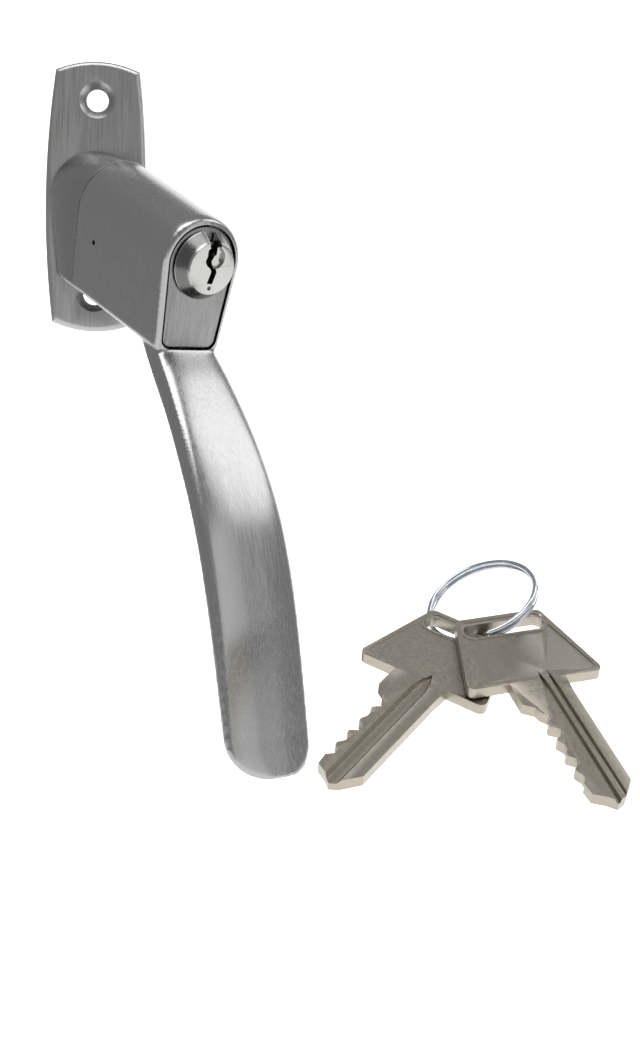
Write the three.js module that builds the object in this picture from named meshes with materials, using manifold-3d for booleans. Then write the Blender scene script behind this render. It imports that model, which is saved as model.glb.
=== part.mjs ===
// Keyed window handle lock: a screwed base plate, a wedge-shaped collar, a cranked head with a
// pin-tumbler cylinder, a swept grip, and two keys on a split ring.
// Millimetres, +Z up. The base plate stands upright with its back face on y = 0 and the spindle
// axis along Y through the origin. The front of the lock faces -Y.
import * as THREE from 'three';
import { mergeVertices } from 'three/addons/utils/BufferGeometryUtils.js';
import Module from 'manifold-3d';

const wasm = await Module();
wasm.setup();

// ---------------------------------------------------------------- driving dimensions
const GAP = 0.3;                        // working clearance between neighbouring pieces

const PLATE = { height: 67, endHalf: 10.45, midHalf: 12.5, thickness: 3.5, sagitta: 2.2, chamfer: 1.2 };
const SCREW_HOLE = { offset: 24, radius: 2.75, sinkRadius: 4.5 };
const JOURNAL_RADIUS = 5;               // round part of the spindle, in the bush
const SPINDLE = { square: 7, behind: 18, inside: 9.8 };
const LOCK_RADIUS = 9;                  // circle of the bolt holes and detents around the spindle
const BOLT = { radius: 1.6, holeRadius: 2, back: 0.5, length: 10.5 };
const BALL_RADIUS = 1.7;

const CRANK = { yaw: THREE.MathUtils.degToRad(34.8), pitch: THREE.MathUtils.degToRad(14.8) };
const COLLAR_START = 1.1;               // height of the collar's rear face above the plate
const SEAM = 12;                        // distance of the collar joint along the head's axis
const FRONT = 50.2;                     // distance of the head's front face along its axis
const BASE_ARCH = { radius: 11.4, centre: 0, bottom: -20.3, foot: 9.4, corner: 2 };
const SEAM_ARCH = { radius: 11.9, centre: 0, bottom: -20.4, foot: 10.8, corner: 2 };
const FRONT_ARCH = { radius: 10.8, centre: -3.95, bottom: -25.6, foot: 9, corner: 2.4 };

const CYL_CENTRE = -3.95;               // height of the plug's axis in the head's own frame
const CYL_FACE_ARCH = { radius: 8.8, centre: CYL_CENTRE, bottom: -24, foot: 7.3, corner: 2.2 };
const CYL_BODY_ARCH = { radius: 6.9, centre: CYL_CENTRE, bottom: -18.6, foot: 6.9, corner: 1 };
const CYL_FLANGE = 5;                   // thickness of the cylinder's visible front part
const CYL_BACK = 17.3;
const PLUG = { radius: 5.5, tail: 16, noseBase: 8.1, noseFace: 6.15, noseHeight: 3.8 };
const PIN_COUNT = 5;
const PIN_FIRST = 23.2;                 // first pin chamber, measured along the head's axis
const PIN_PITCH = 4.4;
const PIN_RADIUS = 1.15;

const KEY = { thickness: 2.4, topHalf: 10, topEnd: -18, footHalf: 14.8, footStart: 1.2, footEnd: 4.2 };
const RING = { radius: 12.15, wire: 1.1, pitch: 1.25, turns: 2, lean: new THREE.Vector3(-0.42, -0.01, 0.91) };

// ---------------------------------------------------------------- materials
function finish(color, roughness, metalness) {
  return new THREE.MeshStandardMaterial({ color, roughness, metalness });
}

const FINISH = {
  satin: finish(0x9a9a98, 0.34, 1),
  dark: finish(0x4b4640, 0.5, 0.8),
  nickel: finish(0x9d958b, 0.38, 1),
  brass: finish(0xb08d4a, 0.35, 1),
  spring: finish(0xb8bcc4, 0.25, 1),
  glide: finish(0x3a2a20, 0.7, 0),
};

// ---------------------------------------------------------------- solid helpers
function solidOf(geometry) {
  const bare = geometry.clone();
  bare.deleteAttribute('normal');
  bare.deleteAttribute('uv');
  const merged = mergeVertices(bare, 1e-4);
  return new wasm.Manifold(new wasm.Mesh({
    numProp: 3,
    vertProperties: new Float32Array(merged.attributes.position.array),
    triVerts: new Uint32Array(merged.index.array),
  }));
}

function geometryOf(solid) {
  const mesh = solid.getMesh();
  const geometry = new THREE.BufferGeometry();
  geometry.setAttribute('position', new THREE.BufferAttribute(new Float32Array(mesh.vertProperties), 3));
  geometry.setIndex(new THREE.BufferAttribute(new Uint32Array(mesh.triVerts), 1));
  return geometry;
}

// Joins the first group of geometries and cuts the second group out of them.
function carve(joined, removed = []) {
  let solid = solidOf(joined[0]);
  for (const geometry of joined.slice(1)) solid = solid.add(solidOf(geometry));
  for (const geometry of removed) solid = solid.subtract(solidOf(geometry));
  return geometryOf(solid);
}

// Prism of an (x, z) outline between two places along Y; front is the smaller y.
function prism(outline, back, front, holes = []) {
  const shape = new THREE.Shape(outline);
  const geometry = new THREE.ExtrudeGeometry(shape, { depth: back - front, bevelEnabled: false });
  geometry.rotateX(Math.PI / 2).translate(0, back, 0);
  if (holes.length === 0) return geometry;
  return carve([geometry], holes.map((hole) => prism(hole, back + 1, front - 1)));
}

// Round bar along Y at (x, z).
function rodY(radius, back, front, x = 0, z = 0, sides = 24, frontRadius = radius) {
  const rod = new THREE.CylinderGeometry(radius, frontRadius, back - front, sides);
  return rod.translate(x, (back + front) / 2, z);
}

// Round bar along Z at (x, y).
function rodZ(radius, low, high, x, y, sides = 16) {
  const rod = new THREE.CylinderGeometry(radius, radius, high - low, sides).rotateX(Math.PI / 2);
  return rod.translate(x, y, (low + high) / 2);
}

function circle(radius, x = 0, z = 0, sides = 24) {
  return Array.from({ length: sides }, (_, i) => {
    const turn = (i / sides) * 2 * Math.PI;
    return new THREE.Vector2(x + radius * Math.cos(turn), z + radius * Math.sin(turn));
  });
}

// Upside-down U: a half-round top, straight tapering sides, and rounded bottom corners.
function archOutline({ radius, centre, bottom, foot, corner }, grow = 0) {
  const points = [];
  const half = foot + grow;
  const low = bottom - grow;
  const bend = Math.max(corner + grow, 0.4);
  for (let i = 0; i <= 4; i++) {
    const turn = -Math.PI / 2 + (i / 4) * (Math.PI / 2);
    points.push(new THREE.Vector2(half - bend + bend * Math.cos(turn), low + bend + bend * Math.sin(turn)));
  }
  for (let i = 0; i <= 28; i++) {
    const turn = (i / 28) * Math.PI;
    const reach = radius + grow;
    points.push(new THREE.Vector2(reach * Math.cos(turn), centre + reach * Math.sin(turn)));
  }
  for (let i = 0; i <= 4; i++) {
    const turn = Math.PI + (i / 4) * (Math.PI / 2);
    points.push(new THREE.Vector2(-half + bend + bend * Math.cos(turn), low + bend + bend * Math.sin(turn)));
  }
  return points;
}

// Closed skin over a row of loops with the same number of points, with a flat cap at each end.
function loft(loops) {
  const count = loops[0].length;
  const position = loops.flat().flatMap((p) => [p.x, p.y, p.z]);
  const index = [];
  const centreOf = (loop) => loop.reduce((sum, p) => sum.add(p), new THREE.Vector3()).divideScalar(count);
  for (const loop of [loops[0], loops[loops.length - 1]]) position.push(...centreOf(loop).toArray());
  const firstCentre = loops.length * count;
  for (let i = 0; i < count; i++) {
    const next = (i + 1) % count;
    for (let row = 0; row + 1 < loops.length; row++) {
      const a = row * count + i;
      const b = row * count + next;
      index.push(a, b, b + count, a, b + count, a + count);
    }
    const last = (loops.length - 1) * count;
    index.push(firstCentre, next, i, firstCentre + 1, last + i, last + next);
  }
  const geometry = new THREE.BufferGeometry();
  geometry.setAttribute('position', new THREE.Float32BufferAttribute(position, 3));
  geometry.setIndex(index);
  return signedVolume(geometry) > 0 ? geometry : turnedInsideOut(geometry);
}

function signedVolume(geometry) {
  const p = geometry.attributes.position;
  const corner = (k) => new THREE.Vector3().fromBufferAttribute(p, geometry.index.getX(k));
  let volume = 0;
  for (let k = 0; k < geometry.index.count; k += 3) {
    volume += corner(k).dot(corner(k + 1).cross(corner(k + 2)));
  }
  return volume;
}

function turnedInsideOut(geometry) {
  const index = Array.from(geometry.index.array);
  for (let k = 0; k < index.length; k += 3) [index[k + 1], index[k + 2]] = [index[k + 2], index[k + 1]];
  geometry.setIndex(index);
  return geometry;
}

class Helix extends THREE.Curve {
  constructor(radius, length, turns) {
    super();
    Object.assign(this, { radius, length, turns });
  }

  getPoint(t, target = new THREE.Vector3()) {
    const turn = t * this.turns * 2 * Math.PI;
    return target.set(this.radius * Math.cos(turn), this.radius * Math.sin(turn), t * this.length);
  }
}

// Coil spring standing on the origin along +Z.
function coilSpring(radius, wire, length, turns) {
  const section = new THREE.Shape(circle(wire, 0, 0, 5));
  return new THREE.ExtrudeGeometry(section, {
    steps: turns * 10, extrudePath: new Helix(radius, length, turns), bevelEnabled: false,
  });
}

const group = new THREE.Group();

function piece(parent, name, geometry, material) {
  const mesh = new THREE.Mesh(geometry, material);
  mesh.name = name;
  parent.add(mesh);
  return mesh;
}

// ---------------------------------------------------------------- base plate and its bush
// Bowed sides and arched ends, both as circular arcs through their middle and corners.
function plateOutline(inset) {
  const half = PLATE.height / 2 - inset;
  const cornerZ = half - PLATE.sagitta;
  const points = [];
  const arc = (steps, place) => {
    for (let i = 0; i < steps; i++) points.push(place(-1 + (2 * i) / steps));
  };
  const bow = PLATE.midHalf - PLATE.endHalf;
  const side = (s) => PLATE.endHalf - inset + bow * (1 - s * s);
  const end = (s) => cornerZ + PLATE.sagitta * (1 - s * s);
  arc(14, (s) => new THREE.Vector2(side(s), cornerZ * s));
  arc(10, (s) => new THREE.Vector2(-s * (PLATE.endHalf - inset), end(s)));
  arc(14, (s) => new THREE.Vector2(-side(s), -cornerZ * s));
  arc(10, (s) => new THREE.Vector2(s * (PLATE.endHalf - inset), -end(s)));
  return points;
}

function basePlate() {
  const loopAt = (inset, y) => plateOutline(inset).map((p) => new THREE.Vector3(p.x, y, p.y));
  const front = -PLATE.thickness;
  const blank = loft([
    loopAt(0, 0), loopAt(0, front + PLATE.chamfer), loopAt(PLATE.chamfer * 0.3, front + PLATE.chamfer * 0.3),
    loopAt(PLATE.chamfer, front),
  ]);
  const holes = [
    rodY(JOURNAL_RADIUS + 1.6, 1, front - 1, 0, 0, 32),
    rodY(6.9, 1, -1.5, 0, 0, 32),
    rodY(BOLT.holeRadius, 1, front - 1, 0, -LOCK_RADIUS),
    rodY(BOLT.holeRadius, 1, front - 1, -LOCK_RADIUS, 0),
  ];
  for (const side of [-1, 1]) {
    const z = side * SCREW_HOLE.offset;
    const sinkDepth = SCREW_HOLE.sinkRadius - SCREW_HOLE.radius;
    const past = 0.5;
    holes.push(rodY(SCREW_HOLE.radius, 1, front - 1, 0, z, 40));
    const mouth = SCREW_HOLE.sinkRadius + past;
    holes.push(rodY(SCREW_HOLE.radius, front + sinkDepth, front - past, 0, z, 40, mouth));
  }
  for (const [x, z] of [[-1, 1], [1, 1], [-1, -1], [1, -1]]) {
    const reach = LOCK_RADIUS * Math.SQRT1_2;
    const dimple = new THREE.SphereGeometry(BALL_RADIUS, 16, 10);
    holes.push(dimple.translate(x * reach, front - BALL_RADIUS + 0.5, z * reach));
  }
  return carve([blank], holes);
}

piece(group, 'base_plate', basePlate(), FINISH.satin);
piece(group, 'bearing_bush', prism(circle(JOURNAL_RADIUS + 1.3, 0, 0, 32), -1.8, -PLATE.thickness,
  [circle(JOURNAL_RADIUS + GAP, 0, 0, 32)]), FINISH.brass);

// ---------------------------------------------------------------- spindle, clip and glide washer
const FACE = -PLATE.thickness;          // front of the base plate

function spindle() {
  const bar = new THREE.BoxGeometry(SPINDLE.square, SPINDLE.behind - FACE + SPINDLE.inside, SPINDLE.square);
  bar.translate(0, (SPINDLE.behind + FACE - SPINDLE.inside) / 2, 0);
  return carve([bar, rodY(JOURNAL_RADIUS, 0, FACE - COLLAR_START + GAP, 0, 0, 32)]);
}

function openRing(inner, outer, mouth, back, front) {
  const sides = 28;
  const turnAt = (i) => -Math.PI / 2 + mouth + (i / sides) * 2 * (Math.PI - mouth);
  const at = (radius, i) => new THREE.Vector2(radius * Math.cos(turnAt(i)), radius * Math.sin(turnAt(i)));
  const outline = [];
  for (let i = 0; i <= sides; i++) outline.push(at(outer, i));
  for (let i = sides; i >= 0; i--) outline.push(at(inner, i));
  return prism(outline, back, front);
}

piece(group, 'spindle', spindle(), FINISH.dark);
piece(group, 'spindle_clip', openRing(JOURNAL_RADIUS + GAP, 6.5, 0.35, -0.4, -1.2), FINISH.spring);

const diagonal = LOCK_RADIUS * Math.SQRT1_2;
const DETENTS = [[diagonal, diagonal], [diagonal, -diagonal]];

piece(group, 'glide_washer', prism(archOutline(BASE_ARCH, -0.35), FACE - GAP, FACE - COLLAR_START + GAP, [
  circle(JOURNAL_RADIUS + 0.4, 0, 0, 32),
  circle(BOLT.holeRadius + 0.1, 0, -LOCK_RADIUS),
  ...DETENTS.map(([x, z]) => circle(BALL_RADIUS + 0.4, x, z)),
]), FINISH.glide);

// ---------------------------------------------------------------- cranked head frame
// The head's own frame: its front also faces -Y, its axis is turned to the right and down.
const head = new THREE.Group();
head.position.set(0, FACE, 0);
head.rotation.set(CRANK.pitch, 0, CRANK.yaw, 'ZYX');
group.add(head);
head.updateMatrixWorld(true);
const toHead = head.matrixWorld.clone().invert();
const intoHeadFrame = (geometry) => geometry.applyMatrix4(toHead);

const mixArch = (a, b, t) => Object.fromEntries(Object.keys(a).map((k) => [k, a[k] + (b[k] - a[k]) * t]));
const headArch = (distance) => mixArch(SEAM_ARCH, FRONT_ARCH, (distance - SEAM) / (FRONT - SEAM));
const loopAlongAxis = (arch, distance, grow = 0) =>
  archOutline(arch, grow).map((p) => new THREE.Vector3(p.x, -distance, p.y));

// ---------------------------------------------------------------- collar and what it holds
const COLLAR_SCREWS = [{ x: -2, z: 8.2, seat: 3 }, { x: -5.2, z: -16, seat: 6.9 }];
const SCREW = { shank: 1.1, head: 2.2, headHeight: 2, tip: 16 };

// Everything nearer the plate than the collar's rear face, so that the handle clears it all the way round.
function behindCollar() {
  const reach = 60;
  const block = new THREE.BoxGeometry(reach, reach, reach).translate(0, FACE - COLLAR_START + reach / 2, 0);
  return intoHeadFrame(block);
}

function rearCollar() {
  const onRear = (p) => new THREE.Vector3(p.x, FACE - COLLAR_START, p.y).applyMatrix4(toHead);
  const rear = archOutline(BASE_ARCH).map(onRear);
  const wedge = loft([rear, loopAlongAxis(SEAM_ARCH, SEAM)]);
  const pocket = SPINDLE.square + 2 * GAP;
  const depth = SPINDLE.inside + GAP;
  const worldCuts = [
    new THREE.BoxGeometry(pocket, depth, pocket).translate(0, FACE - depth / 2, 0),
    rodY(BOLT.radius + GAP, 0, FACE - 30, 0, -LOCK_RADIUS),
    ...DETENTS.map(([x, z]) => rodY(BALL_RADIUS + GAP, 0, FACE - 6.7, x, z)),
  ];
  const screwCuts = COLLAR_SCREWS.flatMap(({ x, z, seat }) => [
    rodY(SCREW.shank + GAP, 10, -SEAM - 5, x, z, 16),
    rodY(SCREW.head + GAP, 10, -seat, x, z),
  ]);
  return carve([wedge], [...worldCuts.map(intoHeadFrame), ...screwCuts, behindCollar()]);
}

piece(head, 'rear_collar', rearCollar(), FINISH.satin);
COLLAR_SCREWS.forEach(({ x, z, seat }, i) => {
  const front = -seat + GAP;
  const top = front + SCREW.headHeight;
  const solid = [rodY(SCREW.head, top, front, x, z), rodY(SCREW.shank, front + 1, -SCREW.tip, x, z, 16)];
  const socket = new THREE.CylinderGeometry(SCREW.shank, SCREW.shank, SCREW.headHeight, 6);
  socket.translate(x, top, z);
  const screw = carve(solid, [socket]);
  piece(head, `collar_screw_${i + 1}`, screw, FINISH.dark);
});
DETENTS.forEach(([x, z], i) => {
  const sphere = new THREE.SphereGeometry(BALL_RADIUS, 20, 12);
  const ball = piece(group, `detent_ball_${i + 1}`, sphere, FINISH.spring);
  ball.position.set(x, FACE - GAP - BALL_RADIUS, z);
  const spring = piece(group, `detent_spring_${i + 1}`, coilSpring(1.2, 0.25, 1.6, 2), FINISH.spring);
  spring.rotation.x = Math.PI / 2;
  spring.position.set(x, FACE - 4.35, z);
});

// ---------------------------------------------------------------- head and grip casting
// The grip in the head's frame, level by level: height, front, back and half width.
const GRIP = [
  [-20, 45.6, 36.4, 7.6], [-24.3, 50.4, 41, 8.3], [-30, 58.4, 48.4, 9.2], [-38, 68.1, 59.3, 10.2],
  [-46, 76.2, 68.5, 11], [-54, 83.1, 76.4, 11.5], [-62, 88.7, 82.8, 11.7], [-70, 93.5, 88.2, 11.8],
  [-78, 97.8, 93.1, 11.8], [-88, 102.8, 98.8, 11.8], [-98.2, 107.8, 104.4, 11.7],
];
const TIP = { end: -106.3, front: 112.2, back: 109.6, levels: 6, squarer: 0.4 };

function gripLoop(height, front, back, half, aside = 0) {
  const sides = 36;
  const squareness = 0.34;
  const soft = (value) => Math.sign(value) * Math.abs(value) ** squareness;
  return Array.from({ length: sides }, (_, i) => {
    const turn = ((i + 0.5) / sides) * 2 * Math.PI;
    const across = half * soft(Math.cos(turn));
    const crown = 0.9 * (1 - (across / half) ** 2) - 0.9;
    const depth = (front + back) / 2 + ((front - back) / 2) * soft(Math.sin(turn));
    return new THREE.Vector3(aside + across, -(depth + (Math.sin(turn) > 0 ? crown * 0.6 : 0)), height);
  });
}

// A smooth curve through the levels, then an end that is half round on the left and squarer on the right.
function gripLoops() {
  const sample = (column) => new THREE.CatmullRomCurve3(
    GRIP.map((row) => new THREE.Vector3(row[0], row[column], 0)), false, 'centripetal');
  const curves = [1, 2, 3].map(sample);
  const loops = [];
  const steps = (GRIP.length - 1) * 2;
  for (let i = 0; i <= steps; i++) {
    const at = curves.map((curve) => curve.getPoint(i / steps));
    loops.push(gripLoop(at[0].x, at[0].y, at[1].y, at[2].y));
  }
  const [height, front, back, half] = GRIP[GRIP.length - 1];
  for (let i = 1; i <= TIP.levels; i++) {
    const turn = (i / TIP.levels) * (Math.PI / 2) * 0.9;
    const t = Math.sin(turn) / Math.sin((Math.PI / 2) * 0.9);
    const level = (from, to) => from + (to - from) * t;
    const place = [level(height, TIP.end), level(front, TIP.front), level(back, TIP.back)];
    const left = half * Math.cos(turn);
    const right = half * Math.cos(turn) ** TIP.squarer;
    loops.push(gripLoop(...place, (left + right) / 2, (right - left) / 2));
  }
  return loops;
}

function handleBody() {
  const shell = loft([
    loopAlongAxis(headArch(SEAM), SEAM + GAP),
    loopAlongAxis(headArch(24), 24), loopAlongAxis(headArch(37), 37),
    loopAlongAxis(headArch(FRONT), FRONT - 1.3),
    loopAlongAxis(headArch(FRONT), FRONT - 0.4, -0.35),
    loopAlongAxis(headArch(FRONT), FRONT, -1),
  ]);
  const flangePocket = prism(archOutline(CYL_FACE_ARCH, 0.4), -(FRONT - CYL_FLANGE - GAP), -(FRONT + 20));
  const bodyPocket = prism(archOutline(CYL_BODY_ARCH, GAP), -(CYL_BACK - GAP), -(FRONT - 2));
  const camRoom = rodY(8.9, -SEAM + 1, -(CYL_BACK - GAP) - 0.1, 0, CYL_CENTRE, 40);
  const screwHoles = COLLAR_SCREWS.map(({ x, z }) =>
    rodY(SCREW.shank + GAP, -SEAM + 1, -SCREW.tip - GAP, x, z, 16));
  const pinHole = retainingPin(GAP - 0.05, 14);
  const cuts = [flangePocket, bodyPocket, camRoom, ...screwHoles, pinHole, behindCollar()];
  return carve([shell, loft(gripLoops())], cuts);
}

// Pin that holds the cylinder, entered from the head's left flank.
function retainingPin(grow, outer) {
  const inner = 5.7 - (grow > 0 ? GAP : 0);
  const pin = new THREE.CylinderGeometry(0.75 + grow, 0.75 + grow, outer - inner, 20).rotateZ(Math.PI / 2);
  return pin.translate(-(outer + inner) / 2, -20.3, -7);
}

piece(head, 'handle_body', handleBody(), FINISH.satin);
piece(head, 'cylinder_pin', retainingPin(0, 10.3), FINISH.dark);

// ---------------------------------------------------------------- lock cylinder
const pinPlaces = Array.from({ length: PIN_COUNT }, (_, i) => -(PIN_FIRST + i * PIN_PITCH));
const PLUG_LOW = CYL_CENTRE - PLUG.radius;      // lowest point of the plug's barrel
const STRIP_TOP = CYL_BODY_ARCH.bottom + 1.2;

function cylinderBody() {
  const flange = prism(archOutline(CYL_FACE_ARCH), -(FRONT - CYL_FLANGE), -FRONT);
  const body = prism(archOutline(CYL_BODY_ARCH), -CYL_BACK, -(FRONT - 1));
  const bore = rodY(PLUG.radius + GAP, 0, -FRONT - 5, 0, CYL_CENTRE, 40);
  const chambers = pinPlaces.map((y) => rodZ(PIN_RADIUS + GAP, STRIP_TOP - 0.5, CYL_CENTRE, 0, y));
  const length = (PIN_COUNT - 1) * PIN_PITCH + 5;
  const stripSlot = new THREE.BoxGeometry(4, length, 4).translate(0, pinPlaces[2], STRIP_TOP - 2);
  return carve([flange, body], [bore, ...chambers, stripSlot, retainingPin(GAP, 14)]);
}

piece(head, 'cylinder_body', cylinderBody(), FINISH.satin);
piece(head, 'chamber_strip', new THREE.BoxGeometry(3.4, (PIN_COUNT - 1) * PIN_PITCH + 4.4, 0.9)
  .translate(0, pinPlaces[2], STRIP_TOP - 0.75), FINISH.brass);

// Keyway across the plug: a crooked slot, open through the top of the nose.
function keywayCutter() {
  const steps = [[1, 3], [-0.4, 0.6], [-2.4, -0.5], [-4.6, 0.7], [-7.5, -0.1]];
  const width = 1.9;
  const left = steps.map(([z, x]) => new THREE.Vector2(Math.min(x, 0.7) - width / 2, z));
  const right = steps.map(([z, x]) => new THREE.Vector2(Math.min(x, 0.7) + width / 2, z)).reverse();
  left[0].set(-width / 2, 1);
  right[right.length - 1].set(width / 2, 1);
  return prism([...left, ...right], -PLUG.tail + 2, -FRONT - 10);
}

function lockPlug() {
  const barrel = rodY(PLUG.radius, -PLUG.tail, -FRONT - GAP - 0.3, 0, CYL_CENTRE, 40);
  const start = FRONT + GAP;
  const rim = rodY(PLUG.noseBase, -start, -start - 0.5, 0, CYL_CENTRE, 48);
  const cone = rodY(PLUG.noseBase, -start - 0.5, -start - PLUG.noseHeight, 0, CYL_CENTRE, 48, PLUG.noseFace);
  const notch = new THREE.BoxGeometry(3.1, 12, 8).translate(0, -start - 5.2, 0.9 + 4);
  const keyTop = new THREE.BoxGeometry(1.9, FRONT, 1.2).translate(0, -PLUG.tail + 2 - FRONT / 2, 1.2);
  const spotFace = rodY(2.7, -start - PLUG.noseHeight + 1.1, -start - 10, 0.3, CYL_CENTRE + 2.6, 28);
  const dimple = new THREE.SphereGeometry(0.5, 12, 8);
  dimple.translate(0, -start - PLUG.noseHeight, CYL_CENTRE - 4.6);
  const chambers = pinPlaces.map((y) => rodZ(PIN_RADIUS + GAP, PLUG_LOW - 1, -5.4, 0, y));
  return carve([barrel, rim, cone], [keywayCutter(), keyTop, notch, spotFace, dimple, ...chambers]);
}

function camOutline() {
  const lobe = 8.1;
  const points = [];
  for (let i = 0; i <= 22; i++) {
    const turn = -Math.PI * 0.72 + (i / 22) * Math.PI * 1.44;
    points.push(new THREE.Vector2(4.6 * Math.cos(turn), CYL_CENTRE + 4.6 * Math.sin(turn)));
  }
  points.push(new THREE.Vector2(-lobe, CYL_CENTRE + 1.6), new THREE.Vector2(-lobe, CYL_CENTRE - 1.6));
  return points;
}

piece(head, 'lock_plug', lockPlug(), FINISH.satin);
piece(head, 'plug_cam', prism(camOutline(), -13.4, -15.7), FINISH.dark);
const clip = openRing(PLUG.radius + GAP, 7.2, 0.35, -16.3, -17).translate(0, 0, CYL_CENTRE);
piece(head, 'plug_clip', clip, FINISH.spring);

pinPlaces.forEach((y, i) => {
  const keyPinTop = -6.1 + 0.35 * ((i * 2) % 3);
  const driverTop = CYL_CENTRE - PLUG.radius - GAP - 0.35;
  const driverLow = driverTop - 2.8;
  const springLow = STRIP_TOP + 0.35;
  piece(head, `key_pin_${i + 1}`, rodZ(PIN_RADIUS, PLUG_LOW + 0.3, keyPinTop, 0, y), FINISH.brass);
  piece(head, `driver_pin_${i + 1}`, rodZ(PIN_RADIUS, driverLow, driverTop, 0, y), FINISH.brass);
  const spring = coilSpring(0.85, 0.2, driverLow - 0.55 - springLow, 3).translate(0, y, springLow);
  piece(head, `pin_spring_${i + 1}`, spring, FINISH.spring);
});

// ---------------------------------------------------------------- locking bolt
const boltTip = FACE - BOLT.back;
const bolt = rodY(BOLT.radius, boltTip, boltTip - BOLT.length, 0, -LOCK_RADIUS);
piece(group, 'locking_bolt', bolt, FINISH.dark);

// ---------------------------------------------------------------- keys and split ring
// The keys' own frame: X to the right, Y from bow to tip towards the front, Z off the keys' plane.
const keys = new THREE.Group();
keys.position.set(90, -105.5, -100);
const LAY = THREE.MathUtils.degToRad(28);
keys.matrixAutoUpdate = false;
keys.matrix.makeBasis(
  new THREE.Vector3(1, 0, 0),
  new THREE.Vector3(0, Math.cos(LAY), Math.sin(LAY)),
  new THREE.Vector3(0, -Math.sin(LAY), Math.cos(LAY)),
).setPosition(keys.position);
group.add(keys);

// Key outline in its own plane: x across the blade, y from the bow (high) to the tip (low).
function keyOutline(cuts) {
  const bladeBack = 6;
  const root = -3.4;
  const outline = [
    [KEY.topHalf - 1.4, -KEY.topEnd], [-KEY.topHalf + 1.4, -KEY.topEnd], [-KEY.topHalf, -KEY.topEnd - 1.2],
    [-KEY.footHalf, -KEY.footStart + 1.4], [-KEY.footHalf - 0.1, -KEY.footStart - 0.4],
    [-KEY.footHalf + 1.3, -KEY.footEnd],
    [-6.1, -KEY.footEnd], [-6.1, -11], [root - 0.4, -13],
  ];
  cuts.forEach((depth, i) => {
    const y = -15.6 - i * 4.4;
    outline.push([root + depth, y], [root + depth, y - 1.5], [root + 0.35, y - 3]);
  });
  outline.push([root + 0.3, -38.2], [-0.6, -39.6], [1.2, -41.2], [3, -40.2], [bladeBack, -36.2]);
  outline.push([bladeBack, -9], [6.3, -KEY.footEnd], [KEY.footHalf - 1.3, -KEY.footEnd]);
  outline.push([KEY.footHalf + 0.1, -KEY.footStart - 0.4], [KEY.footHalf, -KEY.footStart + 1.4]);
  outline.push([KEY.topHalf, -KEY.topEnd - 1.2]);
  return outline.map(([x, y]) => new THREE.Vector2(x, y));
}

function slotOutline() {
  const points = [];
  for (let i = 0; i <= 6; i++) {
    const turn = -Math.PI / 2 + (i / 6) * Math.PI;
    points.push(new THREE.Vector2(7 + 2.1 * Math.cos(turn), 13.7 + 2.1 * Math.sin(turn)));
  }
  for (let i = 0; i <= 6; i++) {
    const turn = Math.PI / 2 + (i / 6) * Math.PI;
    points.push(new THREE.Vector2(-7 + 2.1 * Math.cos(turn), 13.7 + 2.1 * Math.sin(turn)));
  }
  return points;
}

function keyBlank(cuts, grooves) {
  const shape = new THREE.Shape(keyOutline(cuts));
  shape.holes.push(new THREE.Path(slotOutline()));
  const blank = new THREE.ExtrudeGeometry(shape, { depth: KEY.thickness, bevelEnabled: false });
  const milled = grooves.map(([x, width]) =>
    new THREE.BoxGeometry(width, 34, 0.8).translate(x, -27, KEY.thickness));
  return carve([blank], milled);
}

const KEY_PLACES = {
  key_one: {
    x: -13.7, y: 6.2, low: -5.1, heading: 35.4, cuts: [1.2, 0.5, 1.6, 0.8, 1.1], grooves: [[1.3, 3.2]],
  },
  key_two: {
    x: 6.4, y: 4, low: -2.4, heading: -14.8, cuts: [0.9, 1.7, 0.7, 1.4, 0.6], grooves: [[1.2, 1], [3.2, 0.7]],
  },
};
for (const [name, place] of Object.entries(KEY_PLACES)) {
  const blank = keyBlank(place.cuts, place.grooves);
  blank.rotateZ(-THREE.MathUtils.degToRad(place.heading)).translate(place.x, place.y, place.low);
  piece(keys, name, blank, FINISH.nickel);
}

// Two turns of round wire through both bows, leaning to one side.
const ringWire = new THREE.ExtrudeGeometry(new THREE.Shape(circle(RING.wire / 2, 0, 0, 8)), {
  steps: 84, extrudePath: new Helix(RING.radius, RING.pitch * RING.turns, RING.turns), bevelEnabled: false,
});
ringWire.translate(0, 0, (-RING.pitch * RING.turns) / 2);
const ring = piece(keys, 'split_ring', ringWire, FINISH.spring);
ring.position.set(-0.43, 27.72, -1.42);
ring.quaternion.setFromUnitVectors(new THREE.Vector3(0, 0, 1), RING.lean.clone().normalize());

export default group;
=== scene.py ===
import math

import bmesh
import bpy
from mathutils import Matrix, Vector


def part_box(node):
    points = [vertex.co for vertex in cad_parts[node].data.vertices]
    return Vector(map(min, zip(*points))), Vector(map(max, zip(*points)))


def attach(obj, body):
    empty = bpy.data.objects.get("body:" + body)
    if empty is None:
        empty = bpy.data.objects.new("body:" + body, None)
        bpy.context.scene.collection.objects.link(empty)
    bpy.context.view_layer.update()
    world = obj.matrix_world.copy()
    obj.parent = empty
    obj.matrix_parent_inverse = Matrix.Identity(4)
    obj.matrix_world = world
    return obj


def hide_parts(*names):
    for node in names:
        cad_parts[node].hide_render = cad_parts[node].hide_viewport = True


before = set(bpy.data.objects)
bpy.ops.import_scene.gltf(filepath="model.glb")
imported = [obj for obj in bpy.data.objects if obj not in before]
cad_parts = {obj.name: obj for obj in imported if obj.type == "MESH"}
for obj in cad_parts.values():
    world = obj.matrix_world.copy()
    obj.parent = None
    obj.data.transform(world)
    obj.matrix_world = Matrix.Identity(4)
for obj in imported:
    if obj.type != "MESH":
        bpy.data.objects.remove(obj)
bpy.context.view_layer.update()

MM = 0.001

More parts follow.
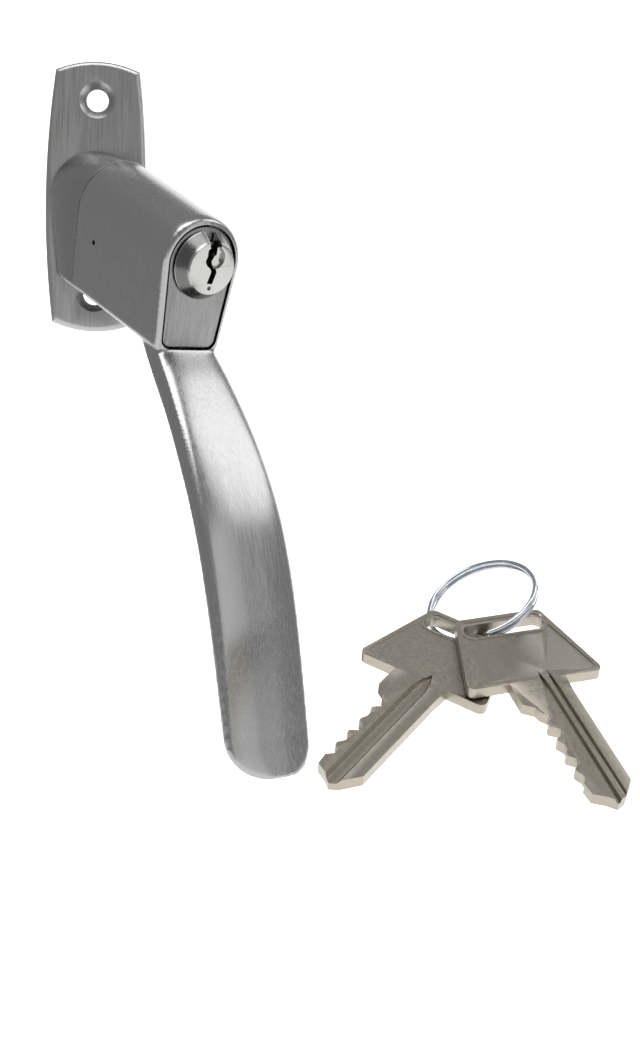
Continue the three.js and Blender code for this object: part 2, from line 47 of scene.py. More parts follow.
# ------------------------------------------------------------------ driving sizes, in millimetres
PLATE_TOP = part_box("base_plate")[1][2] / MM
PLATE_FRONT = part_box("base_plate")[0][1] / MM
PLATE_END_HALF = 10.45
PLATE_MID_HALF = 12.5
PLATE_SAGITTA = 2.2
PLATE_ROUND = 1.3
SCREW_HOLE_UP = 24
SCREW_HOLE_RADIUS = 2.75
SINK_RADIUS = 4.5
LOCK_CIRCLE = 9
BALL_RADIUS = 1.7

YAW = math.radians(34.8)
PITCH = math.radians(14.8)
COLLAR_START = 1.1
SEAM = 12
SEAM_GAP = 0.3
FRONT = 50.2
BASE_ARCH = dict(radius=11.4, centre=0, bottom=-20.3, foot=9.4, corner=2)
SEAM_ARCH = dict(radius=11.9, centre=0, bottom=-20.4, foot=10.8, corner=2)
FRONT_ARCH = dict(radius=10.8, centre=-3.95, bottom=-25.6, foot=9, corner=2.4)
INSERT_ARCH = dict(radius=8.8, centre=-3.95, bottom=-24, foot=7.3, corner=2.2)
BARREL_ARCH = dict(radius=6.9, centre=-3.95, bottom=-18.6, foot=6.9, corner=1)
INSERT_DEPTH = 5
PLUG_CENTRE = -3.95
PLUG_RADIUS = 5.5
NOSE_BASE = 8.1
NOSE_FACE = 6.15
NOSE_HEIGHT = 3.8

# The grip's height, front, back and half width in the head's frame, chosen level by level.
GRIP = [
    (-20, 45.6, 36.4, 7.6), (-24.3, 50.4, 41, 8.3), (-30, 58.4, 48.4, 9.2), (-38, 68.1, 59.3, 10.2),
    (-46, 76.2, 68.5, 11), (-54, 83.1, 76.4, 11.5), (-62, 88.7, 82.8, 11.7), (-70, 93.5, 88.2, 11.8),
    (-78, 97.8, 93.1, 11.8), (-88, 102.8, 98.8, 11.8), (-98.2, 107.8, 104.4, 11.7),
]
TIP_END = -106.3
TIP_FRONT = 112.2
TIP_BACK = 109.6
TIP_SQUARER = 0.4

KEY_THICK = 2.4
KEY_LAY = math.radians(28)
KEY_ORIGIN = Vector((90, -105.5, -100))
KEY_PLACES = {
    "key_one": dict(x=-13.7, y=6.2, low=-5.1, heading=35.4, cuts=(1.2, 0.5, 1.6, 0.8, 1.1), grooves=((1.3, 3.2),)),
    "key_two": dict(x=6.4, y=4, low=-2.4, heading=-14.8, cuts=(0.9, 1.7, 0.7, 1.4, 0.6), grooves=((1.2, 1), (3.2, 0.7))),
}
RING_RADIUS = 12.15
RING_WIRE = 1.1
RING_PITCH = 1.25
RING_CENTRE = Vector((-0.43, 27.72, -1.42))
RING_LEAN = Vector((-0.42, -0.01, 0.91))

HEAD = Matrix.Translation((0, PLATE_FRONT, 0)) @ Matrix.Rotation(YAW, 4, "Z") @ Matrix.Rotation(PITCH, 4, "X")
KEYS = Matrix.Translation(KEY_ORIGIN) @ Matrix.Rotation(KEY_LAY, 4, "X")
TO_METRES = Matrix.Scale(MM, 4)


# ------------------------------------------------------------------ mesh helpers
def new_piece(name, bm, place=Matrix.Identity(4)):
    """Turns a bmesh in millimetres into an object at the origin, in metres."""
    bmesh.ops.transform(bm, matrix=TO_METRES @ place, verts=bm.verts)
    mesh = bpy.data.meshes.new(name)
    bm.to_mesh(mesh)
    bm.free()
    piece = bpy.data.objects.new(name, mesh)
    bpy.context.scene.collection.objects.link(piece)
    return piece


def loft(loops):
    """Closed skin over a row of loops with the same number of points."""
    bm = bmesh.new()
    rows = [[bm.verts.new(p) for p in loop] for loop in loops]
    count = len(rows[0])
    for row, following in zip(rows, rows[1:]):
        for i in range(count):
            j = (i + 1) % count
            bm.faces.new((row[i], row[j], following[j], following[i]))
    bm.faces.new(list(reversed(rows[0])))
    bm.faces.new(rows[-1])
    bmesh.ops.recalc_face_normals(bm, faces=bm.faces)
    return bm


def lathe(profile, sides, at=(0, 0)):
    """Solid turned about a line along Y; the profile is (radius, y) from one end of the axis to the other."""
    bm = bmesh.new()
    rows = []
    for radius, y in profile:
        if radius == 0:
            rows.append([bm.verts.new((at[0], y, at[1]))])
            continue
        turns = [2 * math.pi * i / sides for i in range(sides)]
        rows.append([bm.verts.new((at[0] + radius * math.cos(t), y, at[1] + radius * math.sin(t))) for t in turns])
    for row, following in zip(rows, rows[1:]):
        for i in range(sides):
            j = (i + 1) % sides
            ring = [row[i % len(row)], row[j % len(row)], following[j % len(following)], following[i % len(following)]]
            bm.faces.new(list(dict.fromkeys(ring)))
    bmesh.ops.recalc_face_normals(bm, faces=bm.faces)
    return bm


def prism(outline, back, front):
    """Solid between two places along Y over an (x, z) outline."""
    return loft([[(x, y, z) for x, z in outline] for y in (back, front)])


def apply_modifiers(piece):
    """Swaps a piece's mesh for its finished one and clears its modifiers."""
    graph = bpy.context.evaluated_depsgraph_get()
    done = bpy.data.meshes.new_from_object(piece.evaluated_get(graph))
    piece.modifiers.clear()
    piece.data = done
    return piece


def combine(piece, cutters, operation="DIFFERENCE"):
    """Cuts or joins other pieces into this one, and removes them."""
    for cutter in cutters:
        step = piece.modifiers.new(cutter.name, "BOOLEAN")
        step.operation = operation
        step.solver = "EXACT"
        step.object = cutter
    apply_modifiers(piece)
    for cutter in cutters:
        bpy.data.objects.remove(cutter)
    return piece


def soften_edges(piece, width, degrees=30, segments=3):
    """Rounds the sharp edges a little, so that they catch the light as worked metal does."""
    bevel = piece.modifiers.new("edge_break", "BEVEL")
    bevel.width = width * MM
    bevel.segments = segments
    bevel.limit_method = "ANGLE"
    bevel.angle_limit = math.radians(degrees)
    bevel.harden_normals = False
    return apply_modifiers(piece)


def shade_smooth(piece, degrees=32):
    piece.data.polygons.foreach_set("use_smooth", [True] * len(piece.data.polygons))
    piece.data.set_sharp_from_angle(angle=math.radians(degrees))


def arc(centre, radius, start, stop, steps):
    turns = [math.radians(start + (stop - start) * i / steps) for i in range(steps + 1)]
    return [(centre[0] + radius * math.cos(t), centre[1] + radius * math.sin(t)) for t in turns]


def arch_outline(shape, grow=0.0, fine=64):
    """Upside-down U: half-round top, straight tapering sides and rounded bottom corners."""
    half = shape["foot"] + grow
    low = shape["bottom"] - grow
    bend = max(shape["corner"] + grow, 0.4)
    points = arc((half - bend, low + bend), bend, -90, 0, 10)
    points += arc((0, shape["centre"]), shape["radius"] + grow, 0, 180, fine)
    points += arc((-half + bend, low + bend), bend, 180, 270, 10)
    return points


def mix_arch(a, b, t):
    return {key: a[key] + (b[key] - a[key]) * t for key in a}


def head_arch(distance):
    return mix_arch(SEAM_ARCH, FRONT_ARCH, (distance - SEAM) / (FRONT - SEAM))


def axis_loop(shape, distance, grow=0.0):
    return [(x, -distance, z) for x, z in arch_outline(shape, grow)]


def spline(values, t):
    """Smooth curve through evenly counted values, at t from 0 to 1."""
    span = (len(values) - 1) * t
    i = min(int(span), len(values) - 2)
    u = span - i
    before = values[i - 1] if i > 0 else 2 * values[0] - values[1]
    after = values[i + 2] if i + 2 < len(values) else 2 * values[-1] - values[-2]
    a, b = values[i], values[i + 1]
    return 0.5 * (2 * a + (b - before) * u + (2 * before - 5 * a + 4 * b - after) * u * u
                  + (3 * a - before - 3 * b + after) * u ** 3)


# ------------------------------------------------------------------ finishes
def finish_nodes(name):
    material = bpy.data.materials.new(name)
    material.use_nodes = True
    return material, material.node_tree, material.node_tree.nodes["Principled BSDF"]


def linked(tree, kind, settings=None, **inputs):
    """Adds a node, sets its plain values and links the rest."""
    node = tree.nodes.new(kind)
    for key, value in (settings or {}).items():
        setattr(node, key, value)
    for key, value in inputs.items():
        socket = node.inputs[key.replace("_", " ")]
        if isinstance(value, bpy.types.NodeSocket):
            tree.links.new(value, socket)
        else:
            socket.default_value = value
    return node


def grain_noise(tree, stretch, scale, turn=(0, 0, 0), detail=4.0):
    """Noise drawn out into lines, as a brush leaves on metal."""
    where = tree.nodes.new("ShaderNodeTexCoord").outputs["Object"]
    turned = linked(tree, "ShaderNodeMapping", {"vector_type": "TEXTURE"}, Vector=where, Rotation=turn)
    drawn = linked(tree, "ShaderNodeMapping", None, Vector=turned.outputs[0], Scale=stretch)
    return linked(tree, "ShaderNodeTexNoise", None, Vector=drawn.outputs[0], Scale=scale, Detail=detail)


def ranged(tree, value, low, high, from_low=0.3, from_high=0.7):
    node = linked(tree, "ShaderNodeMapRange", None, Value=value)
    node.inputs["From Min"].default_value = from_low
    node.inputs["From Max"].default_value = from_high
    node.inputs["To Min"].default_value = low
    node.inputs["To Max"].default_value = high
    return node.outputs[0]


def metal(name, dark, light, rough, stretch=(1, 1, 1), turn=(0, 0, 0), grain=0.12, scale=900,
          clouds=60, edge_wear_and_highlight=None, anisotropic=0.0):
    """Metal with drawn or cast grain, broad tone changes, and lighter sharp edges: partly edge wear, partly a painted
    highlight where edges catch the light.
    """
    material, tree, shader = finish_nodes(name)
    fine = grain_noise(tree, stretch, scale, turn).outputs["Fac"]
    broad = grain_noise(tree, (1, 1, 1), clouds, detail=3.0).outputs["Fac"]
    tone = linked(tree, "ShaderNodeMix", {"data_type": "FLOAT"}, Factor=0.35, A=fine, B=broad).outputs[0]
    ramp = linked(tree, "ShaderNodeValToRGB", None, Fac=tone)
    ramp.color_ramp.elements[0].position = 0.3
    ramp.color_ramp.elements[0].color = (*dark, 1)
    ramp.color_ramp.elements[1].position = 0.7
    ramp.color_ramp.elements[1].color = (*light, 1)
    colour = ramp.outputs[0]
    # painted highlight: sharp convex edges (from Pointiness) are blended towards a lighter colour, standing in partly
    # for wear and partly for light caught on the edges
    if edge_wear_and_highlight:
        bent = tree.nodes.new("ShaderNodeNewGeometry").outputs["Pointiness"]
        edge_wear_and_highlight_mask = ranged(tree, bent, 0, 1, 0.52, 0.6)
        blend = linked(tree, "ShaderNodeMix", {"data_type": "RGBA"}, Factor=edge_wear_and_highlight_mask, A=colour, B=(*edge_wear_and_highlight, 1))
        tree.links.new(blend.inputs["Factor"].links[0].from_socket, blend.inputs[0])
        tree.links.new(colour, blend.inputs[6])
        blend.inputs[7].default_value = (*edge_wear_and_highlight, 1)
        colour = blend.outputs[2]
    tree.links.new(colour, shader.inputs["Base Color"])
    tree.links.new(ranged(tree, fine, rough - 0.07, rough + 0.07), shader.inputs["Roughness"])
    bump = linked(tree, "ShaderNodeBump", None, Height=fine, Strength=grain, Distance=0.00015)
    tree.links.new(bump.outputs[0], shader.inputs["Normal"])
    shader.inputs["Metallic"].default_value = 1.0
    shader.inputs["Anisotropic"].default_value = anisotropic
    return material


ALONG_Z = (1, 1, 0.02)
HEAD_TURN = (PITCH, 0, YAW)
GRIP_TURN = (-1.4 * PITCH, 0, YAW)
steel_plate = metal("brushed_steel_plate", (0.32, 0.32, 0.317), (0.42, 0.42, 0.416), 0.32, ALONG_Z, scale=4200, grain=0.2)
steel_collar = metal("satin_steel_collar", (0.26, 0.26, 0.259), (0.285, 0.285, 0.284), 0.3, scale=3000, grain=0.04)
steel_handle = metal("satin_steel_handle", (0.31, 0.31, 0.311), (0.35, 0.35, 0.351), 0.25, (1, 1, 0.012), GRIP_TURN,
                     grain=0.04, scale=3600)
steel_insert = metal("brushed_steel_insert", (0.13, 0.13, 0.132), (0.27, 0.27, 0.272), 0.3, (1, 1, 0.02), HEAD_TURN,
                     grain=0.3, scale=3600)
# The lighter edge colours of the plug and the keys are partly painted highlight on their sharp edges and partly edge
# wear.
steel_plug = metal("turned_steel_plug", (0.11, 0.11, 0.109), (0.15, 0.15, 0.148), 0.22, scale=2400, edge_wear_and_highlight=(0.4, 0.4, 0.39))
key_metal = metal("nickel_silver", (0.125, 0.11, 0.093), (0.178, 0.16, 0.137), 0.34, grain=0.2, scale=1400, clouds=260,
                  edge_wear_and_highlight=(0.36, 0.33, 0.28))
wire_metal = metal("bright_wire", (0.4, 0.42, 0.46), (0.58, 0.6, 0.64), 0.12, grain=0.05, scale=900)
dark_metal = metal("blackened_steel", (0.05, 0.045, 0.04), (0.1, 0.09, 0.08), 0.5, scale=900)
brass_metal = metal("turned_brass", (0.55, 0.38, 0.16), (0.7, 0.5, 0.24), 0.3, scale=900)


def glide_finish():
    material, tree, shader = finish_nodes("moulded_glide")
    speckle = grain_noise(tree, (1, 1, 1), 800).outputs["Fac"]
    ramp = linked(tree, "ShaderNodeValToRGB", None, Fac=speckle)
    ramp.color_ramp.elements[0].color = (0.03, 0.018, 0.012, 1)
    ramp.color_ramp.elements[1].color = (0.07, 0.045, 0.03, 1)
    tree.links.new(ramp.outputs[0], shader.inputs["Base Color"])
    tree.links.new(ranged(tree, speckle, 0.5, 0.7), shader.inputs["Roughness"])
    return material


glide_plastic = glide_finish()

NODE_FINISH = {
    "bearing_bush": brass_metal, "spindle": dark_metal, "spindle_clip": wire_metal, "glide_washer": glide_plastic,
    "chamber_strip": brass_metal, "plug_cam": dark_metal, "plug_clip": wire_metal, "locking_bolt": dark_metal,
    "cylinder_pin": dark_metal, "collar_screw": dark_metal, "detent_ball": wire_metal, "detent_spring": wire_metal,
    "key_pin": brass_metal, "driver_pin": brass_metal, "pin_spring": wire_metal,
}
for node_name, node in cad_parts.items():
    for start, material in NODE_FINISH.items():
        if node_name.startswith(start):
            node.data.materials.clear()
            node.data.materials.append(material)


def stand_in(piece, node, body, material):
    """Gives a finished piece its material and puts it in place of its CAD node."""
    piece.data.materials.clear()
    piece.data.materials.append(material)
    shade_smooth(piece)
    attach(piece, body)
    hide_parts(node)


# ------------------------------------------------------------------ base plate
def plate_outline(inset):
    half = PLATE_TOP - inset
    corner = half - PLATE_SAGITTA
    bow = PLATE_MID_HALF - PLATE_END_HALF
    steps = [-1 + 2 * i / 40 for i in range(40)]
    side = [(PLATE_END_HALF - inset + bow * (1 - s * s), corner * s) for s in steps]
    end = [(-s * (PLATE_END_HALF - inset), corner + PLATE_SAGITTA * (1 - s * s)) for s in steps]
    return side + end + [(-x, -z) for x, z in side] + [(-x, -z) for x, z in end]


def base_plate():
    def level(inset, y):
        return [(x, y, z) for x, z in plate_outline(inset)]
    loops = [level(0.2, 0), level(0, -0.2)]
    for i in range(9):
        turn = math.radians(90 * i / 8)
        loops.append(level(PLATE_ROUND * (1 - math.cos(turn)), PLATE_FRONT + PLATE_ROUND * (1 - math.sin(turn))))
    plate = new_piece("plate", loft(loops))
    cutters = []
    for up in (-SCREW_HOLE_UP, SCREW_HOLE_UP):
        sink = SINK_RADIUS - SCREW_HOLE_RADIUS
        profile = [(0, 1), (SCREW_HOLE_RADIUS, 1), (SCREW_HOLE_RADIUS, PLATE_FRONT + sink),
                   (SINK_RADIUS, PLATE_FRONT), (SINK_RADIUS + 1, PLATE_FRONT - 1), (0, PLATE_FRONT - 1)]
        cutters.append(new_piece("screw_hole", lathe(profile, 96, (0, up))))
    bore = [(0, 1), (6.9, 1), (6.9, -1.5), (6.6, -1.5), (6.6, PLATE_FRONT - 1), (0, PLATE_FRONT - 1)]
    cutters.append(new_piece("bore", lathe(bore, 96)))
    for x, z in ((0, -LOCK_CIRCLE), (-LOCK_CIRCLE, 0)):
        bolt_hole = lathe([(0, 1), (2, 1), (2, PLATE_FRONT - 1), (0, PLATE_FRONT - 1)], 48, (x, z))
        cutters.append(new_piece("bolt_hole", bolt_hole))
    reach = LOCK_CIRCLE * math.sqrt(0.5)
    for x, z in ((-reach, reach), (reach, reach), (-reach, -reach), (reach, -reach)):
        dimple = bmesh.new()
        ball_centre = (x, PLATE_FRONT - BALL_RADIUS + 0.5, z)
        bmesh.ops.create_uvsphere(dimple, u_segments=32, v_segments=20, radius=BALL_RADIUS,
                                  matrix=Matrix.Translation(ball_centre))
        cutters.append(new_piece("dimple", dimple))
    combine(plate, cutters)
    soften_edges(plate, 0.12, 35)
    stand_in(plate, "base_plate", "base", steel_plate)


# ------------------------------------------------------------------ collar, head and grip
def rear_collar():
    to_head = HEAD.inverted()
    rear = [to_head @ Vector((x, PLATE_FRONT - COLLAR_START, z)) for x, z in arch_outline(BASE_ARCH)]
    rear_inner = [to_head @ Vector((x, PLATE_FRONT - COLLAR_START, z)) for x, z in arch_outline(BASE_ARCH, -0.3)]
    lifted = [p.lerp(Vector(q), 0.03) for p, q in zip(rear, axis_loop(SEAM_ARCH, SEAM))]
    loops = [rear_inner, lifted, axis_loop(SEAM_ARCH, SEAM - 0.3), axis_loop(SEAM_ARCH, SEAM - 0.08, -0.08),
             axis_loop(SEAM_ARCH, SEAM, -0.3)]
    collar = new_piece("collar", loft(loops), HEAD)
    pocket = prism([(-3.8, -3.8), (3.8, -3.8), (3.8, 3.8), (-3.8, 3.8)], 5, PLATE_FRONT - 10.1)
    bolt = lathe([(0, 5), (1.9, 5), (1.9, -34), (0, -34)], 32, (0, -LOCK_CIRCLE))
    cutters = [new_piece("pocket", pocket), new_piece("bolt_bore", bolt)]
    reach = LOCK_CIRCLE * math.sqrt(0.5)
    for up in (-reach, reach):
        well = lathe([(0, 5), (2, 5), (2, PLATE_FRONT - 6.7), (0, PLATE_FRONT - 6.7)], 32, (reach, up))
        cutters.append(new_piece("detent_well", well))
    cutters.append(behind_collar())
    for x, z, seat in ((-2, 8.2, 3), (-5.2, -16, 6.9)):
        hole = lathe([(0, 10), (2.5, 10), (2.5, -seat), (1.4, -seat), (1.4, -17), (0, -17)], 32, (x, z))
        cutters.append(new_piece("screw_well", hole, HEAD))
    combine(collar, cutters)
    stand_in(collar, "rear_collar", "handle", steel_collar)


def behind_collar():
    """Everything nearer the plate than the collar's rear face."""
    square = [(-30, -30), (30, -30), (30, 30), (-30, 30)]
    return new_piece("behind_collar", prism(square, 40, PLATE_FRONT - COLLAR_START))


def grip_loop(height, front, back, half, aside=0.0):
    squareness = 0.34
    points = []
    for i in range(96):
        turn = 2 * math.pi * (i + 0.5) / 96
        across = math.copysign(abs(math.cos(turn)) ** squareness, math.cos(turn))
        deep = math.copysign(abs(math.sin(turn)) ** squareness, math.sin(turn))
        crown = -0.54 * across * across if deep > 0 else 0
        points.append((aside + half * across, -((front + back) / 2 + (front - back) / 2 * deep + crown), height))
    return points


def grip():
    columns = list(zip(*GRIP))
    loops = []
    for i in range(121):
        loops.append(grip_loop(*(spline(column, i / 120) for column in columns)))
    height, front, back, half = GRIP[-1]
    most = math.radians(81)
    for i in range(1, 19):
        turn = most * i / 18
        t = math.sin(turn) / math.sin(most)
        left, right = half * math.cos(turn), half * math.cos(turn) ** TIP_SQUARER
        loops.append(grip_loop(height + (TIP_END - height) * t, front + (TIP_FRONT - front) * t,
                               back + (TIP_BACK - back) * t, (left + right) / 2, (right - left) / 2))
    return new_piece("grip", loft(loops), HEAD)


def handle_body():
    loops = [axis_loop(head_arch(SEAM), SEAM - 2)]
    loops += [axis_loop(head_arch(d), d) for d in range(16, 49, 4)]
    for i in range(9):
        turn = math.radians(90 * i / 8)
        loops.append(axis_loop(head_arch(FRONT), FRONT - 1.2 * (1 - math.sin(turn)), -1.2 * (1 - math.cos(turn))))
    handle = new_piece("handle", loft(loops), HEAD)
    combine(handle, [grip()], "UNION")
    remesh = handle.modifiers.new("one_skin", "REMESH")
    remesh.mode = "VOXEL"
    remesh.voxel_size = 0.42 * MM
    smooth = handle.modifiers.new("cast_smooth", "SMOOTH")
    smooth.factor = 0.5
    smooth.iterations = 14
    apply_modifiers(handle)
    back = HEAD @ Vector((0, -SEAM - SEAM_GAP, 0))
    axis = HEAD.to_3x3() @ Vector((0, 1, 0))
    bm = bmesh.new()
    bm.from_mesh(handle.data)
    cut = bmesh.ops.bisect_plane(bm, geom=bm.verts[:] + bm.edges[:] + bm.faces[:], plane_co=back * MM,
                                 plane_no=axis, clear_outer=True)
    rim = [item for item in cut["geom_cut"] if isinstance(item, bmesh.types.BMEdge)]
    bmesh.ops.holes_fill(bm, edges=rim, sides=0)
    bm.to_mesh(handle.data)
    bm.free()
    cutters = [
        new_piece("insert_pocket", prism(arch_outline(INSERT_ARCH, 0.5), -(FRONT - INSERT_DEPTH - 0.3), -(FRONT + 20)), HEAD),
        new_piece("barrel_pocket", prism(arch_outline(BARREL_ARCH, 0.3), -17, -(FRONT - 2)), HEAD),
        new_piece("cam_room", lathe([(0, -11), (8.9, -11), (8.9, -17.1), (0, -17.1)], 96, (0, PLUG_CENTRE)), HEAD),
        new_piece("pin_hole", pin_bar(0.6, 16), HEAD),
        behind_collar(),
    ]
    combine(handle, cutters)
    stand_in(handle, "handle_body", "handle", steel_handle)


def pin_bar(radius, outer):
    """Bar along X on the head's left flank, at the cylinder's retaining pin."""
    bm = lathe([(0, -outer), (radius, -outer), (radius, -5.4), (0, -5.4)], 48)
    bmesh.ops.rotate(bm, verts=bm.verts, matrix=Matrix.Rotation(math.radians(-90), 3, "Z"))
    bmesh.ops.translate(bm, verts=bm.verts, vec=(0, -20.3, -7))
    return bm


# ------------------------------------------------------------------ cylinder and plug
def cylinder_body():
    face = FRONT - 0.2
    loops = [axis_loop(INSERT_ARCH, FRONT - INSERT_DEPTH), axis_loop(INSERT_ARCH, face - 0.3),
             axis_loop(INSERT_ARCH, face - 0.09, -0.09), axis_loop(INSERT_ARCH, face, -0.3)]
    insert = new_piece("insert", loft(loops), HEAD)
    combine(insert, [new_piece("barrel", prism(arch_outline(BARREL_ARCH), -17.3, -(FRONT - 1)), HEAD)], "UNION")
    bore = lathe([(0, -10), (PLUG_RADIUS + 0.3, -10), (PLUG_RADIUS + 0.3, -60), (0, -60)], 96, (0, PLUG_CENTRE))
    combine(insert, [new_piece("plug_bore", bore, HEAD)])
    stand_in(insert, "cylinder_body", "handle", steel_insert)


def keyway_outline():
    """Crooked slot down the plug, ragged like a paracentric keyway."""
    bends = ((1, 0.1, 1.2), (-0.9, 0.1, 1.2), (-1.2, -0.1, 0.9), (-2.6, -0.6, 0.8), (-4.7, 0.6, 0.75), (-7.5, -0.1, 0.75))
    left = [(x - half, z) for z, x, half in bends]
    return left + [(x + half, z) for z, x, half in reversed(bends)]


def lock_plug():
    start = FRONT + 0.3
    face = start + NOSE_HEIGHT
    profile = [(0, -16), (PLUG_RADIUS, -16), (PLUG_RADIUS, -start), (NOSE_BASE - 0.15, -start), (NOSE_BASE, -start - 0.15),
               (NOSE_BASE, -start - 0.45)]
    for i in range(5):
        t = i / 4
        profile.append((NOSE_BASE - 0.1 + (NOSE_FACE + 0.1 - NOSE_BASE) * t, -start - 0.6 + (-face + 0.25 + start + 0.6) * t))
    profile += [(NOSE_FACE - 0.06, -face + 0.08), (NOSE_FACE - 0.25, -face), (0, -face)]
    plug = new_piece("plug", lathe(profile, 128, (0, PLUG_CENTRE)), HEAD)
    notch = prism([(-1.55, 0.9), (1.55, 0.9), (1.55, 9), (-1.55, 9)], -49.7, -62)
    top_slot = prism([(-0.95, 0.6), (0.95, 0.6), (0.95, 1.9), (-0.95, 1.9)], -14, -64)
    spot = lathe([(0, -face + 1.1), (2.7, -face + 1.1), (2.7, -face - 6), (0, -face - 6)], 64, (0.3, PLUG_CENTRE + 2.6))
    dimple = bmesh.new()
    bmesh.ops.create_uvsphere(dimple, u_segments=24, v_segments=16, radius=0.5,
                              matrix=Matrix.Translation((0, -face, PLUG_CENTRE - 4.6)))
    cutters = [new_piece("keyway", prism(keyway_outline(), -14, -62), HEAD), new_piece("notch", notch, HEAD),
               new_piece("top_slot", top_slot, HEAD), new_piece("spot_face", spot, HEAD),
               new_piece("dimple", dimple, HEAD)]
    combine(plug, cutters)
    soften_edges(plug, 0.07, 40, 2)
    stand_in(plug, "lock_plug", "plug", steel_plug)


# ------------------------------------------------------------------ keys and ring
def bow_outline(inset):
    """The bow of a key from its collar round to its collar, drawn in by inset."""
    top, foot, flare, low = 18 - inset, 10 - inset, 14.8 - inset, -4.2 + inset
    right = [(flare - 1.6, low)] + arc((flare - 1.5, low + 1.5), 1.5, -80, 10, 8)
    right += arc((foot - 1.5, top - 1.5), 1.5, 20, 90, 8)
    return right + [(-x, y) for x, y in reversed(right)]


def key_outline(cuts):
    left_root = -3.4
    outline = bow_outline(0)
    outline += [(-6.1, -4.2), (-6.1, -10.7), (-5.8, -11), (left_root - 0.4, -12.4)]
    for i, depth in enumerate(cuts):
        y = -15.2 - 4.4 * i
        outline += [(left_root, y + 1.3), (left_root + 1.25 * depth, y), (left_root + 1.25 * depth, y - 1.1)]
        outline += [(left_root, y - 2.4)]
    outline += [(left_root + 0.3, -38.2), (-0.6, -39.6), (1.2, -41.2), (3, -40.2), (6, -36.2), (6, -9), (6.3, -4.2)]
    return outline


def flat_solid(outline, low, high):
    """Solid over an (x, y) outline between two heights."""
    return loft([[(x, y, z) for x, y in outline] for z in (low, high)])


def milled_groove(x, width):
    """Groove cut by a round cutter: it runs out to a point at the bow and has sloping sides."""
    half = width / 2
    deep = 0.75

    def level(grow, height):
        wide = half + grow
        return [(x - wide, -7, height), (x - wide * 0.6, -4, height), (x, -1.5 + grow, height), (x + wide * 0.6, -4, height),
                (x + wide, -7, height), (x + wide, -46, height), (x - wide, -46, height)]
    return loft([level(-0.3 * half, KEY_THICK - deep), level(0, KEY_THICK - deep * 0.4), level(0.25, KEY_THICK + 0.2)])


def cut_key(name, place):
    spot = KEYS @ Matrix.Translation((place["x"], place["y"], place["low"]))
    spot = spot @ Matrix.Rotation(-math.radians(place["heading"]), 4, "Z")
    key = new_piece(name + "_blank", flat_solid(key_outline(place["cuts"]), 0, KEY_THICK), spot)
    slot = arc((7, 13.7), 2.1, -90, 90, 16) + arc((-7, 13.7), 2.1, 90, 270, 16)
    cutters = [new_piece("slot", flat_solid(slot, -1, 4), spot)]
    for height in (-0.9, KEY_THICK - 0.1):
        cutters.append(new_piece("bow_recess", flat_solid(bow_outline(1.1), height, height + 1), spot))
    for x, width in place["grooves"]:
        cutters.append(new_piece("groove", milled_groove(x, width), spot))
    rim = 0.7
    collar = new_piece("slot_rim", flat_solid(arc((7, 13.7), 2.1 + rim, -90, 90, 16)
                                              + arc((-7, 13.7), 2.1 + rim, 90, 270, 16), 0, KEY_THICK), spot)
    slot_again = new_piece("slot", flat_solid(slot, -1, 4), spot)
    combine(key, cutters)
    combine(key, [collar], "UNION")
    combine(key, [slot_again])
    soften_edges(key, 0.16, 35, 3)
    stand_in(key, name, name, key_metal)


def ring_tree():
    """Geometry Nodes: two close turns of round wire."""
    tree = bpy.data.node_groups.new("split_ring_wire", "GeometryNodeTree")
    for label, kind in (("Geometry", "NodeSocketGeometry"), ("Radius", "NodeSocketFloat"), ("Wire", "NodeSocketFloat"),
                        ("Rise", "NodeSocketFloat"), ("Metal", "NodeSocketMaterial")):
        tree.interface.new_socket(label, in_out="INPUT", socket_type=kind)
    tree.interface.new_socket("Geometry", in_out="OUTPUT", socket_type="NodeSocketGeometry")
    given = tree.nodes.new("NodeGroupInput").outputs
    spiral = linked(tree, "GeometryNodeCurveSpiral", None, Resolution=160, Rotations=2.0, Height=given["Rise"])
    tree.links.new(given["Radius"], spiral.inputs["Start Radius"])
    tree.links.new(given["Radius"], spiral.inputs["End Radius"])
    wire = linked(tree, "GeometryNodeCurvePrimitiveCircle", None, Resolution=20, Radius=given["Wire"])
    swept = tree.nodes.new("GeometryNodeCurveToMesh")
    tree.links.new(spiral.outputs[0], swept.inputs["Curve"])
    tree.links.new(wire.outputs[0], swept.inputs["Profile Curve"])
    swept.inputs["Fill Caps"].default_value = True
    real = linked(tree, "GeometryNodeRealizeInstances", None, Geometry=swept.outputs[0])
    coated = linked(tree, "GeometryNodeSetMaterial", None, Geometry=real.outputs[0], Material=given["Metal"])
    tree.links.new(coated.outputs[0], tree.nodes.new("NodeGroupOutput").inputs[0])
    return tree


def split_ring():
    tree = ring_tree()
    ring = new_piece("ring", bmesh.new())
    wind = ring.modifiers.new("winding", "NODES")
    wind.node_group = tree
    rise = RING_PITCH * 2
    values = {"Radius": RING_RADIUS, "Wire": RING_WIRE / 2, "Rise": rise, "Metal": wire_metal}
    for socket in tree.interface.items_tree:
        if socket.in_out == "INPUT" and socket.name in values:
            wind[socket.identifier] = values[socket.name]
    apply_modifiers(ring)
    lean = RING_LEAN.to_track_quat("Z", "Y").to_matrix().to_4x4()
    place = KEYS @ Matrix.Translation(RING_CENTRE) @ lean @ Matrix.Translation((0, 0, -rise / 2))
    ring.data.transform(TO_METRES @ place)
    stand_in(ring, "split_ring", "ring", wire_metal)


base_plate()
rear_collar()
handle_body()
cylinder_body()
lock_plug()
for key_name, key_place in KEY_PLACES.items():
    cut_key(key_name, key_place)
split_ring()


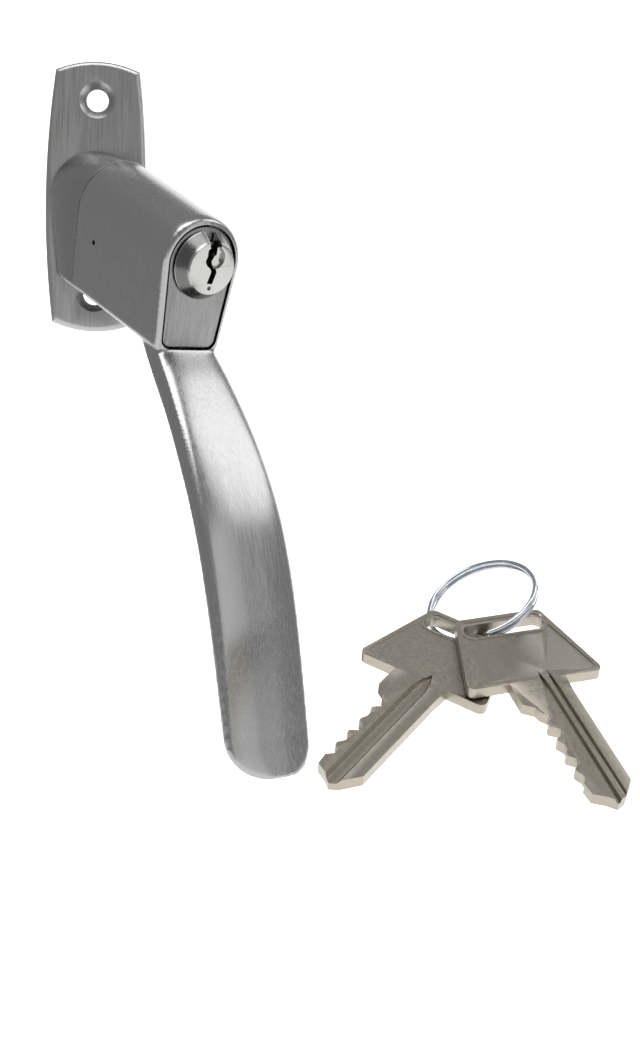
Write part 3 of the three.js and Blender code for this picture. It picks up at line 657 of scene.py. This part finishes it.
# ------------------------------------------------------------------ studio
def studio_camera():
    azimuth, elevation, roll = math.radians(4.1), math.radians(6.5), math.radians(1.9)
    towards = Vector((-math.sin(azimuth) * math.cos(elevation), -math.cos(azimuth) * math.cos(elevation), math.sin(elevation)))
    right = Vector((math.cos(azimuth), -math.sin(azimuth), 0))
    up = towards.cross(right)
    right, up = right * math.cos(roll) + up * math.sin(roll), up * math.cos(roll) - right * math.sin(roll)
    data = bpy.data.cameras.new("camera")
    data.sensor_fit = "HORIZONTAL"
    data.sensor_width = 36
    data.lens = 101.25
    data.clip_start = 0.01
    camera = bpy.data.objects.new("camera", data)
    bpy.context.scene.collection.objects.link(camera)
    turned = Matrix((right, up, towards)).transposed().to_4x4()
    camera.matrix_world = Matrix.Translation((0.0261, -0.4640, -0.0271)) @ turned
    bpy.context.scene.camera = camera


def softbox(name, place, target, size, power, tint=(1, 1, 1)):
    data = bpy.data.lights.new(name, "AREA")
    data.shape = "RECTANGLE"
    data.size, data.size_y = size
    data.energy = power
    data.color = tint
    light = bpy.data.objects.new(name, data)
    light.location = place
    light.rotation_euler = (Vector(target) - Vector(place)).to_track_quat("-Z", "Y").to_euler()
    bpy.context.scene.collection.objects.link(light)


def backdrop():
    """Pale floor that curves up into the wall behind."""
    floor, wall, bend = -0.22, 0.5, 0.2
    profile = [(-1.6, floor)] + [(y, z) for y, z in arc((wall - bend, floor + bend), bend, -90, 0, 24)] + [(wall, 0.42)]
    bm = bmesh.new()
    rows = [[bm.verts.new((x, y, z)) for y, z in profile] for x in (-0.42, 1.2)]
    for i in range(len(profile) - 1):
        bm.faces.new((rows[0][i], rows[1][i], rows[1][i + 1], rows[0][i + 1]))
    sweep = new_piece("floor", bm, Matrix.Scale(1 / MM, 4))
    material, tree, shader = finish_nodes("pale_floor")
    shader.inputs["Base Color"].default_value = (0.9, 0.9, 0.9, 1)
    shader.inputs["Emission Color"].default_value = (1, 1, 1, 1)
    shader.inputs["Emission Strength"].default_value = 0.7
    shader.inputs["Roughness"].default_value = 0.9
    sweep.data.materials.append(material)


def studio_lights():
    world = bpy.data.worlds.new("studio")
    world.use_nodes = True
    world.node_tree.nodes["Background"].inputs[0].default_value = (1, 1, 1, 1)
    world.node_tree.nodes["Background"].inputs[1].default_value = 0.42
    bpy.context.scene.world = world
    middle = (0.03, -0.05, -0.05)
    softbox("top_light", (0.0, -0.3, 0.7), middle, (0.7, 0.5), 3.5)
    softbox("upper_right_light", (0.62, -0.02, 0.47), middle, (0.42, 0.42), 1.35)
    softbox("right_light", (0.7, -0.5, 0.1), middle, (0.4, 0.6), 0.62)
    bpy.context.scene.view_settings.view_transform = "Standard"


studio_camera()
backdrop()
studio_lights()
